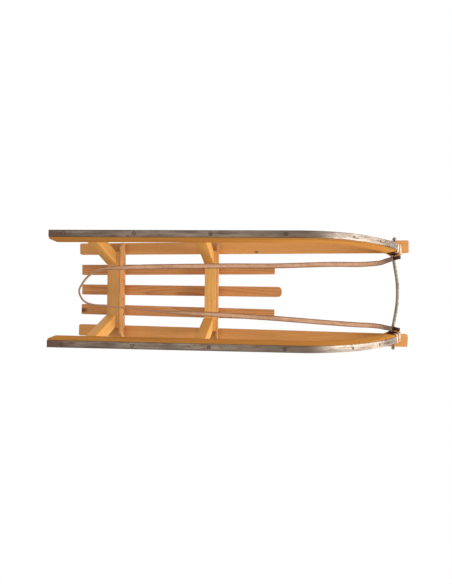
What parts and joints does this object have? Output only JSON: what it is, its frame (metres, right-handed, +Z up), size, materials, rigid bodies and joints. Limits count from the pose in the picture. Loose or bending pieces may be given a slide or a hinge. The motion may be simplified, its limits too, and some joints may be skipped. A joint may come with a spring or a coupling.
{
  "type": "wooden toboggan",
  "caption": "Wooden toboggan with two steel-shod runners curved up at the front, two leg trestles, a slatted seat, a rod between the runner tips and a leather pull strap.",
  "frame": {"origin": "on the ground under the middle of the toboggan", "axes": "+X towards the runners' curved front ends, +Y to the rider's left, +Z up"},
  "size_m": [1.1004, 0.368, 0.225],
  "materials": {
    "runner_wood": "varnished beech, clear and golden",
    "leg_wood": "varnished beech, pale yellow",
    "seat_wood": "varnished pine, golden orange",
    "inner_slat_wood": "varnished pine, deeper red-brown",
    "shoe_steel": "worn, scratched and lightly rusted",
    "rod_steel": "zinc-plated, slightly dulled",
    "screw_steel": "worn zinc with a little rust",
    "strap_leather": "worn brown leather"
  },
  "bodies": {
    "root": {"runner_left": "runner_wood", "runner_right": "runner_wood", "runner_shoe_left": "shoe_steel", "runner_shoe_right": "shoe_steel", "shoe_screws_left": "screw_steel", "shoe_screws_right": "screw_steel", "rear_leg_left": "leg_wood", "rear_leg_right": "leg_wood", "front_leg_left": "leg_wood", "front_leg_right": "leg_wood", "rear_crossbar": "leg_wood", "front_crossbar": "leg_wood", "rear_seat_board": "seat_wood", "front_seat_board": "seat_wood", "outer_slat_left": "seat_wood", "outer_slat_right": "seat_wood", "inner_slat_left": "inner_slat_wood", "inner_slat_right": "inner_slat_wood", "centre_slat": "inner_slat_wood", "slat_screws": "screw_steel", "tip_screws": "screw_steel", "board_screws": "screw_steel", "leg_pegs": "leg_wood", "pull_rod": "rod_steel", "rod_washers": "rod_steel", "rod_nuts": "rod_steel", "strap_end_left": "strap_leather", "strap_end_right": "strap_leather", "pull_strap": "strap_leather"}
  },
  "joints": []
}
